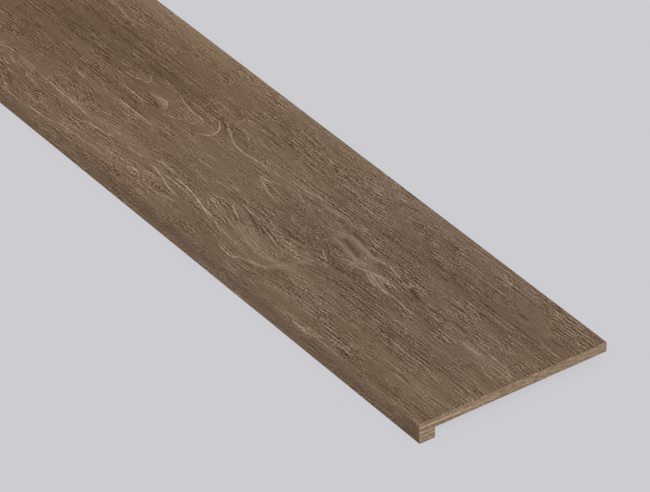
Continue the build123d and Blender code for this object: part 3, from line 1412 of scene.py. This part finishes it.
@dataclass
class Tread:
    """The tread board: one section swept along its length, with the grain brushed into it.

    Sizes are metres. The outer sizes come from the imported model, and so do the heights of the
    underside and the nosing's back, from the mounts on those faces.

    Attributes:
        low: The lowest corner of its box.
        high: The highest corner.
        underside: The height of the panel's underside.
        nosing_back: Where the nosing's back stands.
        figure: The wood's drawing.
        front_top_radius: The radius of the nosing's top arris.
        front_foot_radius: The radius of its foot.
        top_turns: How many steps the top arris is turned in.
        foot_turns: How many the foot is.
        ease: How far the other long arrises are broken.
        end_ease: How far the ends' arrises are.
        grain_depth: How deep the brushed grain is at most.
        face_step: The distance between points over the walking face.
        front_step: The same down the nosing's front.
        edge_step: The same over the narrow hidden faces.
        hidden_step: The same over the underside.
        stations: How many stretches the length is divided into.
        smooth_angle: The sharpest edge that still looks smooth.
    """

    low: Vector
    high: Vector
    underside: float
    nosing_back: float
    figure: Figure = field(default_factory=Figure)
    front_top_radius: float = 2.5 * MM
    front_foot_radius: float = 1.0 * MM
    top_turns: int = 6
    foot_turns: int = 3
    ease: float = 0.5 * MM
    end_ease: float = 0.4 * MM
    grain_depth: float = 0.12 * MM
    face_step: float = 1.65 * MM
    front_step: float = 2.0 * MM
    edge_step: float = 4.0 * MM
    hidden_step: float = 20.0 * MM
    stations: int = 372
    smooth_angle: float = math.radians(30)

    @classmethod
    def from_frame(cls, packed: Mapping[str, Any]) -> "Tread":
        """Reads the tread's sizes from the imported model.


        Returns:
            The tread, ready to build.
        """
        low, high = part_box("tread")
        places = {mount["name"]: mount["pos_m"] for mount in packed["record"]["mounts"]}
        return cls(low, high, underside=places["underside"][2], nosing_back=places["nosing_back"][1])

    @staticmethod
    def side(start: Point, end: Point, step: float) -> list[Point]:
        """Evenly spaced points of a straight side, with both its ends.

        Args:
            start: Its first point.
            end: Its last point.
            step: About how far apart they are.

        Returns:
            The points.
        """
        count = max(1, round(math.dist(start, end) / step))
        return [tuple(point) for point in np.linspace(start, end, count + 1).tolist()]

    @staticmethod
    def corner(middle: Point, radius: float, start: float, turns: int) -> list[Point]:
        """Points of a quarter round, without its two ends.

        Args:
            middle: The round's middle.
            radius: Its radius.
            start: The angle that it starts at.
            turns: How many steps it has.

        Returns:
            The points between the ends.
        """
        angles = [start + math.pi / 2 * i / turns for i in range(1, turns)]
        return [(middle[0] + radius * math.cos(a), middle[1] + radius * math.sin(a)) for a in angles]

    def section(self) -> list[Point]:
        """The closed section, anticlockwise in depth and height.

        Returns:
            Its points, from the inner corner round by the back.
        """
        front, back = self.low.y, self.high.y
        foot, top = self.low.z, self.high.z
        ease, round_top, round_foot = self.ease, self.front_top_radius, self.front_foot_radius
        inner = (self.nosing_back, self.underside)
        return [
            *self.side(inner, (back - ease, self.underside), self.hidden_step),
            *self.side((back, self.underside + ease), (back, top - ease), self.edge_step),
            *self.side((back - ease, top), (front + round_top, top), self.face_step),
            *self.corner((front + round_top, top - round_top), round_top, math.pi / 2, self.top_turns),
            *self.side((front, top - round_top), (front, foot + round_foot), self.front_step),
            *self.corner((front + round_foot, foot + round_foot), round_foot, math.pi, self.foot_turns),
            *self.side((front + round_foot, foot), (self.nosing_back - ease, foot), self.edge_step),
            *self.side((self.nosing_back, foot + ease), inner, self.edge_step)[:-1],
        ]

    def section_mesh(self) -> bpy.types.Object:
        """The section as one flat face, each point carrying the way inwards.

        Returns:
            An object that only the sweep reads.
        """
        points = np.array(self.section())
        before, after = np.roll(points, 1, 0), np.roll(points, -1, 0)
        into, out = self.headings(points - before), self.headings(after - points)
        way = self.headings(into + out)
        # Longer where the section turns, so that each side comes in by one
        inward = self.left_of(way) / (way * into).sum(1)[:, None]
        mesh = bpy.data.meshes.new("tread_section")
        mesh.from_pydata([(0.0, y, z) for y, z in points], [], [tuple(range(len(points)))])
        layer = mesh.attributes.new(Sweep.inward, "FLOAT_VECTOR", "POINT")
        layer.data.foreach_set("vector", np.insert(inward, 0, 0.0, axis=1).ravel())
        return place_in_scene("tread_section", mesh)

    @staticmethod
    def headings(steps: np.ndarray) -> np.ndarray:
        """The directions of a number of steps, each of length one."""
        return steps / np.linalg.norm(steps, axis=1)[:, None]

    @staticmethod
    def left_of(headings: np.ndarray) -> np.ndarray:
        """The directions to the left of a number of headings."""
        return np.stack([-headings[:, 1], headings[:, 0]], 1)

    def build(self, finishes: Sequence[bpy.types.Material]) -> bpy.types.Object:
        """Makes the board.

        Args:
            finishes: The materials of the face, the ends and the back, in that order.

        Returns:
            The finished piece.
        """
        face, ends, back = finishes
        inputs = {
            "Length": self.high.x - self.low.x,
            "Stations": self.stations,
            "End Ease": self.end_ease,
            "Smooth Angle": self.smooth_angle,
            "Face": face,
            "Ends": ends,
            "Back": back,
        }
        swept = Sweep().apply(self.section_mesh(), "tread_board", inputs)
        swept.data.attributes.remove(swept.data.attributes[Sweep.inward])
        self.draw_figure(swept.data)
        board = Brush().apply(swept, "tread_board", {"Depth": self.grain_depth, "Face": face})
        log.info("%s: %d faces", board.name, len(board.data.polygons))
        return board

    def draw_figure(self, mesh: bpy.types.Mesh) -> None:
        """Writes the wood's figure, with its painted highlight, onto the mesh, one value a point for each
        layer.

        Args:
            mesh: The swept board.
        """
        points = np.zeros(len(mesh.vertices) * 3, np.float32)
        mesh.vertices.foreach_get("co", points)
        x, y, z = points.reshape(-1, 3).T.astype(float)
        places = Places(x * PER_MM, (y + z - self.high.z) * PER_MM)
        cloud_and_highlight, busy = self.figure.soft_layers(places)
        drawn = {
            Layer.RING.value: self.figure.ring(places),
            Layer.GRAIN.value: self.figure.grain(places),
            Layer.CLOUD_AND_HIGHLIGHT.value: cloud_and_highlight,
            Layer.BUSY.value: busy,
            Layer.WARM.value: self.figure.warm(places),
        }
        for sheet, veins in zip(SHEETS, self.figure.sheets(), strict=True):
            drawn[sheet.gap], drawn[sheet.tone] = self.figure.draw_sheet(veins, places)
        for name, values in drawn.items():
            attribute = mesh.attributes.new(name, "FLOAT", "POINT")
            attribute.data.foreach_set("value", values.astype(np.float32))


class Shaper:
    """A Geometry Nodes tree that is built once, applied to an object and taken off again.

    Attributes:
        name: The tree's name.
        inputs: Its inputs besides the geometry, each with its type of socket.
    """

    name: ClassVar[str] = "shaper"
    inputs: ClassVar[tuple[tuple[str, str], ...]] = ()

    def __init__(self) -> None:
        """Makes the tree with its named inputs."""
        self.tree = bpy.data.node_groups.new(self.name, "GeometryNodeTree")
        self.graph = Graph(self.tree)
        self.tree.interface.new_socket("Geometry", in_out="INPUT", socket_type="NodeSocketGeometry")
        self.identifiers = {
            name: self.tree.interface.new_socket(name, in_out="INPUT", socket_type=kind).identifier
            for name, kind in self.inputs
        }
        self.tree.interface.new_socket("Geometry", in_out="OUTPUT", socket_type="NodeSocketGeometry")
        self.group_input = self.graph.add("NodeGroupInput")
        self.graph.add("NodeGroupOutput", {"Geometry": self.shape()})

    def input(self, name: str) -> Field:
        """One of the tree's named inputs."""
        return Field(self.graph, self.group_input.outputs[name])

    def named(self, name: str, kind: str = "FLOAT") -> Field:
        """A layer that the incoming mesh carries."""
        inputs = {"Name": name}
        return self.graph.field("GeometryNodeInputNamedAttribute", "Attribute", inputs, data_type=kind)

    def position(self) -> Field:
        """Where each point is."""
        return self.graph.field("GeometryNodeInputPosition", "Position")

    def facing(self) -> tuple[Field, Field]:
        """How far each place faces an end, and how far it faces up or to the front."""
        x, y, z = self.graph.parts(self.graph.field("GeometryNodeInputNormal", "Normal"))
        return abs(x), z.at_least(-y)

    def dressed(self, geometry: Field, chosen: Field | bool, name: str) -> Field:
        """Gives the chosen faces the material of one of the tree's named inputs."""
        inputs = {"Geometry": geometry, "Selection": chosen, "Material": self.input(name)}
        return self.graph.field("GeometryNodeSetMaterial", "Geometry", inputs)

    def shape(self) -> Field:
        """Adds the tree's own nodes, and returns the geometry that they end in."""
        raise NotImplementedError

    def apply(self, source: bpy.types.Object, name: str, values: Mapping[str, Any]) -> bpy.types.Object:
        """Runs the tree on an object and keeps the result as a plain mesh.

        Args:
            source: The object that the tree shapes, which is removed.
            name: The new object's name.
            values: The tree's inputs, by name.

        Returns:
            The new object.
        """
        modifier = source.modifiers.new(self.name, "NODES")
        modifier.node_group = self.tree
        for key, value in values.items():
            modifier[self.identifiers[key]] = value
        state = bpy.context.evaluated_depsgraph_get()
        mesh = bpy.data.meshes.new_from_object(source.evaluated_get(state), depsgraph=state)
        source.modifiers.remove(modifier)
        bpy.data.objects.remove(source)
        for slot in reversed(range(len(mesh.materials))):
            if mesh.materials[slot] is None:
                mesh.materials.pop(index=slot)
        mesh.name = name
        return place_in_scene(name, mesh)


class Sweep(Shaper):
    """Sweeps the section along the length, closes the ends and breaks their arrises.

    Attributes:
        inward: The section's layer that tells which way is inwards.
        merge_distance: How near points must be to become one, in metres.
        slack: What keeps a whole number of stations from being rounded down.
        end_facing: How far a face looks along the length to belong to an end.
        back_facing: How far the faces that rest on the stair look up or to the front at most.
    """

    name = "sweep_section"
    inputs = (
        ("Length", "NodeSocketFloat"),
        ("Stations", "NodeSocketInt"),
        ("End Ease", "NodeSocketFloat"),
        ("Smooth Angle", "NodeSocketFloat"),
        ("Face", "NodeSocketMaterial"),
        ("Ends", "NodeSocketMaterial"),
        ("Back", "NodeSocketMaterial"),
    )
    inward = "inward"
    merge_distance = 0.001 * MM
    slack = 1e-4
    end_facing = 0.5
    back_facing = 0.1

    def shape(self) -> Field:
        """Joins the ends to the skin, shades them and gives them their finishes.

        Returns:
            The closed board.
        """
        g = self.graph
        half = self.input("Length") * 0.5
        joined = g.add("GeometryNodeJoinGeometry")
        for part in (self.end(half), self.flipped(self.end(-half)), self.flipped(self.skin())):
            g.feed(joined.inputs["Geometry"], part)
        whole = g.field(
            "GeometryNodeMergeByDistance", "Geometry",
            {"Geometry": joined.outputs["Geometry"], "Distance": self.merge_distance},
        )
        smooth = g.field("GeometryNodeSetShadeSmooth", "Geometry", {"Geometry": whole}, domain="FACE")
        turn = g.field("GeometryNodeInputMeshEdgeAngle", "Unsigned Angle")
        sharp = turn.above(self.input("Smooth Angle"))
        creased = g.field(
            "GeometryNodeSetShadeSmooth", "Geometry",
            {"Geometry": smooth, "Selection": sharp, "Shade Smooth": False}, domain="EDGE",
        )
        return self.finished(g.field("GeometryNodeRealizeInstances", "Geometry", {"Geometry": creased}))

    def flipped(self, geometry: Field) -> Field:
        """Turns faces to look the other way."""
        return self.graph.field("GeometryNodeFlipFaces", "Mesh", {"Mesh": geometry})

    def moved(self, geometry: Field, at: Field, inward: Field, by: Field, x: Field) -> Field:
        """Puts geometry on points of the section, drawn in and carried along the length.

        Args:
            geometry: What is moved.
            at: The section's points.
            inward: The way inwards from each.
            by: How far each is drawn in.
            x: How far along each is carried.

        Returns:
            The moved geometry.
        """
        _, y, z = self.graph.parts(at)
        _, dy, dz = self.graph.parts(inward)
        place = self.graph.vector(x, y + dy * by, z + dz * by)
        inputs = {"Geometry": geometry, "Position": place}
        return self.graph.field("GeometryNodeSetPosition", "Geometry", inputs)

    def end(self, x: Field) -> Field:
        """The flat face of an end, drawn in by the ease of its arrises."""
        inward = self.named(self.inward, "FLOAT_VECTOR")
        return self.moved(self.input("Geometry"), self.position(), inward, self.input("End Ease"), x)

    def skin(self) -> Field:
        """The long sides: a grid whose rows are the section, one for each station.

        The first and the last row are drawn in by the ease, to meet the ends. The rows next to
        them stand the ease further in along the length, and the rest are evenly spread.

        Returns:
            The grid, bent round the section and looking inwards.
        """
        g = self.graph
        section, ease, stations = self.input("Geometry"), self.input("End Ease"), self.input("Stations")
        points = g.field("GeometryNodeAttributeDomainSize", "Point Count", {"Geometry": section})
        rows = points + 1.0
        grid = g.field(
            "GeometryNodeMeshGrid", "Mesh",
            {"Size X": 1.0, "Size Y": 1.0, "Vertices X": stations + 1.0, "Vertices Y": rows},
        )
        index = g.field("GeometryNodeInputIndex", "Index")
        station = g.math("FLOOR", index / rows + self.slack)
        around = g.math("MODULO", index - station * rows, points)
        first = (1.0 - station).at_least(0.0)
        last = (station - stations + 1.0).at_least(0.0)
        share = (station + first - last - 1.0) / (stations - 2.0)
        x = (share - 0.5) * (self.input("Length") - ease * 2.0) + (last - first) * ease
        at, inward = (
            g.field(
                "GeometryNodeSampleIndex", "Value",
                {"Geometry": section, "Value": value, "Index": around},
                data_type="FLOAT_VECTOR", domain="POINT",
            )
            for value in (self.position(), self.named(self.inward, "FLOAT_VECTOR"))
        )
        return self.moved(grid, at, inward, (first + last) * ease, x)

    def finished(self, geometry: Field) -> Field:
        """Gives the face, the back and the ends their materials, by the way each face looks.

        Args:
            geometry: The closed board.

        Returns:
            The board in its finishes.
        """
        along, out = self.facing()
        back = self.graph.math("LESS_THAN", out, self.back_facing)
        geometry = self.dressed(geometry, True, "Face")
        geometry = self.dressed(geometry, back, "Back")
        return self.dressed(geometry, along.above(self.end_facing), "Ends")


class Brush(Shaper):
    """Sinks the brushed grain's grooves into the walking face and the nosing's front.

    Attributes:
        relief: How far the relief rises where no groove is, and falls where one is deepest.
        squarely: How far a face looks up or to the front to be brushed.
    """

    name = "brush_grain"
    inputs = (("Depth", "NodeSocketFloat"), ("Face", "NodeSocketMaterial"))
    relief = 1.6
    squarely = 0.9

    def shape(self) -> Field:
        """Moves the face's points inwards by the grooves' depth.

        Returns:
            The brushed board.
        """
        g = self.graph
        x, _, _ = g.parts(self.position())
        grain = self.named(Layer.GRAIN.value)
        height = sum(streak.draw(g, x * PER_MM, grain) for streak in BRUSHED)
        _, out = self.facing()
        face = out.above(self.squarely)
        depth = height.over(self.relief, -self.relief) * face * self.input("Depth")
        normal = g.field("GeometryNodeInputNormal", "Normal")
        sunk = g.field("ShaderNodeVectorMath", "Vector", {0: normal, "Scale": -depth}, operation="SCALE")
        inputs = {"Geometry": self.input("Geometry"), "Offset": sunk}
        moved = g.field("GeometryNodeSetPosition", "Geometry", inputs)
        real = g.field("GeometryNodeRealizeInstances", "Geometry", {"Geometry": moved})
        return self.dressed(real, face, "Face")


@dataclass(frozen=True)
class Studio:
    """The plain pale floor, the soft light and the camera.

    Attributes:
        backdrop: The colour of the floor and of what lies behind it.
        floor_half: Half the floor's width, in metres.
        floor_gap: How far the floor lies under the board.
        sky: The strength of the even light from all round.
        sun: The strength of the key light.
        sun_from: The direction that it comes from.
        sun_spread: How wide it is.
        shadow_share: How much of the shadow the floor keeps.
        camera_place: Where the camera stands, in metres.
        azimuth: How far round the tread it stands, from the front to the right.
        elevation: How far above the floor it stands, as an angle.
        lens: Its lens, in millimetres.
        sensor: Its film's width, in millimetres.
        sight: How far it sees, in metres.
    """

    backdrop: Rgb = (linear(206), linear(205), linear(210))
    floor_half: float = 400.0
    floor_gap: float = 0.05 * MM
    sky: float = 0.55
    sun: float = 2.18
    sun_from: tuple[float, float, float] = (0.48, -0.22, 0.45)
    sun_spread: float = math.radians(50)
    shadow_share: float = 0.14
    camera_place: tuple[float, float, float] = (4.74381, -3.30952, 3.93281)
    azimuth: float = math.radians(54.028)
    elevation: float = math.radians(34.83)
    lens: float = 282.33
    sensor: float = 36.0
    sight: float = 100.0

    def floor(self, height: float) -> None:
        """Lays the floor, which is not part of the object.

        Args:
            height: The height that the tread stands at.
        """
        half = self.floor_half
        level = height - self.floor_gap
        mesh = bpy.data.meshes.new("floor")
        corners = [(-half, -half, level), (half, -half, level), (half, half, level), (-half, half, level)]
        mesh.from_pydata(corners, [], [(0, 1, 2, 3)])
        mesh.materials.append(self.floor_material())
        place_in_scene("floor", mesh)

    def floor_material(self) -> bpy.types.Material:
        """The floor's finish: the backdrop's grey, which still takes the tread's shadow.

        Returns:
            The material.
        """
        material = bpy.data.materials.new("pale_floor")
        graph = Graph.of(material)
        grey = {"Color": (*self.backdrop, 1.0)}
        paint = graph.field("ShaderNodeBsdfDiffuse", "BSDF", grey)
        glow = graph.field("ShaderNodeEmission", "Emission", grey)
        seen = graph.field("ShaderNodeLightPath", "Is Camera Ray") * (1.0 - self.shadow_share)
        graph.add("ShaderNodeOutputMaterial", {"Surface": graph.mixed(seen, paint, glow)})
        return material

    def light(self) -> None:
        """Hangs the wide soft key light and the even sky."""
        lamp = bpy.data.lights.new("key", "SUN")
        lamp.energy = self.sun
        lamp.angle = self.sun_spread
        key = place_in_scene("key", lamp)
        key.rotation_mode = "QUATERNION"
        key.rotation_quaternion = Vector(self.sun_from).to_track_quat("Z", "Y")
        world = bpy.data.worlds.new("sky")
        graph = Graph.of(world)
        white = {"Color": (1.0, 1.0, 1.0, 1.0), "Strength": self.sky}
        even = graph.field("ShaderNodeBackground", "Background", white)
        grey = {"Color": (*self.backdrop, 1.0), "Strength": 1.0}
        shown = graph.field("ShaderNodeBackground", "Background", grey)
        seen = graph.field("ShaderNodeLightPath", "Is Camera Ray")
        graph.add("ShaderNodeOutputWorld", {"Surface": graph.mixed(seen, even, shown)})
        bpy.context.scene.world = world

    def camera(self) -> None:
        """Sets up the camera at the photograph's viewing angle."""
        back = Vector((
            math.sin(self.azimuth) * math.cos(self.elevation),
            -math.cos(self.azimuth) * math.cos(self.elevation),
            math.sin(self.elevation),
        ))
        data = bpy.data.cameras.new("view")
        data.lens = self.lens
        data.sensor_width = self.sensor
        data.sensor_fit = "HORIZONTAL"
        data.clip_end = self.sight
        camera = place_in_scene("view", data)
        camera.location = self.camera_place
        camera.rotation_mode = "QUATERNION"
        camera.rotation_quaternion = (-back).to_track_quat("-Z", "Y")
        bpy.context.scene.camera = camera


def main() -> None:
    """Builds the studio and the tread."""
    logging.basicConfig(level=logging.INFO, format="%(name)s: %(message)s")
    bpy.context.scene.view_settings.view_transform = "Standard"
    studio = Studio()
    studio.floor(cad_box[0].z)
    studio.light()
    studio.camera()
    tread = Tread.from_frame(frame)
    finishes = (LimedOak(), CutEnd(), PlainBack())
    board = tread.build([finish.material(tread.low.y, tread.high.z) for finish in finishes])
    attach(board, "root")
    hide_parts("tread")


if __name__ == "__main__":
    main()
